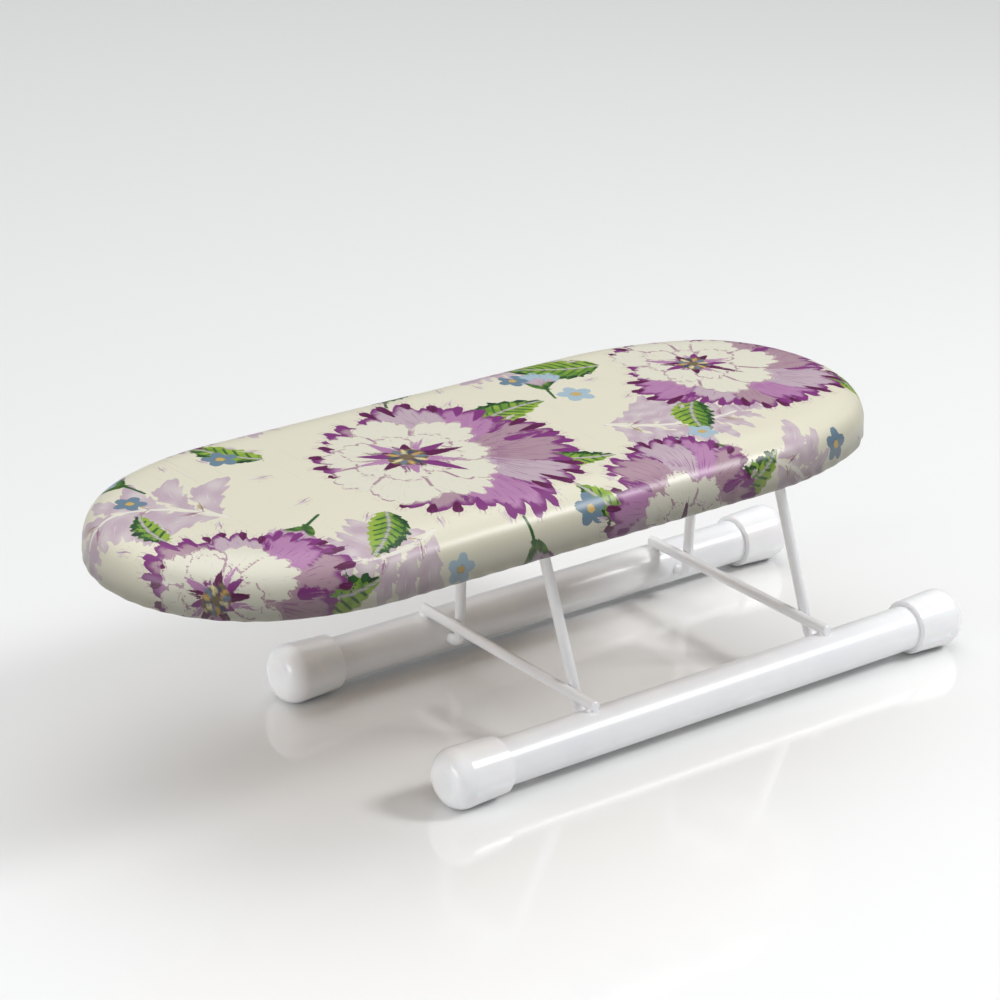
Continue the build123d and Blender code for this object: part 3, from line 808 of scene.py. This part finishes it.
def writeLayer(mesh, name, kind, field, values):
    # one value per point, stored on the mesh for the material to read
    layer = mesh.attributes.new(name, kind, "POINT")
    layer.data.foreach_set(field, values.astype(np.float32).ravel())


def makeCover():
    # the grid plus the drape's shift, with the print worked out at each point's place on the flat cloth
    points, sheet, depth = coverSurface()
    points = points + drapeShift(points)
    cover = gridMesh("paddedCover", points)
    mesh = cover.data
    mesh.shade_smooth()
    flat = sheet.reshape(-1, 2)
    cloth = printCloth(flat)
    writeLayer(mesh, "sheet", "FLOAT_VECTOR", "vector", np.column_stack([flat * mm, 0 * flat[:, 0]]))
    writeLayer(mesh, "flow", "FLOAT_VECTOR", "vector", cloth["flow"])
    for name in layerNames:
        inked = np.column_stack([cloth[name]["ink"], cloth[name]["edge"]])
        writeLayer(mesh, name, "FLOAT_COLOR", "color", inked)
    # the painted shade down the cover's side, stored as the depth attribute
    writeLayer(mesh, "depth", "FLOAT", "value", depth)
    mergeDoubles(mesh)
    mesh.shade_smooth()
    mesh.materials.append(sateenCotton())
    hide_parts("cover", "foam_pad")
    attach(cover, "board")
    print("cover made:", len(mesh.polygons), "faces")


# ---- stage

floor = {"size": 8.0, "tint": "#f3f3f2"}


def makeFloor():
    # a square of the given size in metres, pale and glossy, at height 0
    half = floor["size"] / 2
    corners = [(-half, -half, 0), (half, -half, 0), (half, half, 0), (-half, half, 0)]
    mesh = bpy.data.meshes.new("floor")
    mesh.from_pydata(corners, [], [(0, 1, 2, 3)])
    ground = bpy.data.objects.new("floor", mesh)
    bpy.context.scene.collection.objects.link(ground)
    material, _ = newMaterial("paleGlossTable", floor["tint"], Roughness=0.09, IOR=1.75)
    mesh.materials.append(material)
    print("floor laid")


studio = {
    # place, aim, width and height in metres, watts
    "overhead": ((0.4, 1.0, 2.7), (0.2, 0.4, 0), (3.2, 3.0), 23),
    "sideKey": ((1.35, -1.0, 1.5), (0, 0, 0.12), (0.5, 0.5), 22),
    "noseFill": ((-2.3, 0.1, 0.55), (0, 0, 0.05), (1.2, 0.7), 16),
}
sky = {"tint": (0.97, 0.98, 1.0, 1), "lean": (-0.2, 0.0, 0.98), "from": (0.3, 0.95), "to": (0.1, 1.15)}


def softLight(name, place, aim, size, power):
    # a rectangular lamp turned so that its -Z axis points from its place to its aim
    data = bpy.data.lights.new(name, "AREA")
    data.shape = "RECTANGLE"
    data.size, data.size_y = size
    data.energy = power
    lamp = bpy.data.objects.new(name, data)
    bpy.context.scene.collection.objects.link(lamp)
    lamp.location = place
    lamp.rotation_euler = (Vector(aim) - Vector(place)).to_track_quat("-Z", "Y").to_euler()


def makeLights():
    # the world is brighter overhead and behind than in front: its strength is a ramp on the
    # direction's dot product with sky["lean"]
    world = bpy.data.worlds.new("studio")
    bpy.context.scene.world = world
    world.use_nodes = True
    glow = world.node_tree.nodes["Background"]
    glow.inputs["Color"].default_value = sky["tint"]
    way = addNode(world, "ShaderNodeTexCoord").outputs["Generated"]
    slope = addNode(world, "ShaderNodeVectorMath", {0: way, 1: sky["lean"]}, operation="DOT_PRODUCT")
    ramp = addNode(world, "ShaderNodeMapRange", {
        "Value": slope.outputs["Value"], "From Min": sky["from"][0], "From Max": sky["from"][1],
        "To Min": sky["to"][0], "To Max": sky["to"][1]})
    link(world, ramp.outputs["Result"], glow.inputs["Strength"])
    for name, lamp in studio.items():
        softLight(name, *lamp)
    print("lights hung:", len(studio))


view = {"place": (-1.01993, -1.19478, 0.78439), "heading": 40.0, "down": 22.94, "roll": 2.77, "lens": 117.22}


def makeCamera():
    # stands ahead of the nose and to the left, looking down at the board: its axes are the level
    # heading turned down, then rolled
    heading, down, roll = (math.radians(view[k]) for k in ("heading", "down", "roll"))
    level = Vector((math.sin(heading), math.cos(heading), 0))
    right = Vector((math.cos(heading), -math.sin(heading), 0))
    ahead = level * math.cos(down) - Vector((0, 0, math.sin(down)))
    up = right.cross(ahead)
    tiltedRight = right * math.cos(roll) + up * math.sin(roll)
    tiltedUp = up * math.cos(roll) - right * math.sin(roll)
    data = bpy.data.cameras.new("camera")
    data.lens, data.sensor_width = view["lens"], 36
    camera = bpy.data.objects.new("camera", data)
    bpy.context.scene.collection.objects.link(camera)
    turn = Matrix((tiltedRight, tiltedUp, -ahead)).transposed().to_4x4()
    camera.matrix_world = Matrix.Translation(view["place"]) @ turn
    bpy.context.scene.camera = camera
    bpy.context.scene.view_settings.view_transform = "Standard"
    print("camera placed")


dressNodes()
makeCover()
makeFloor()
makeLights()
makeCamera()
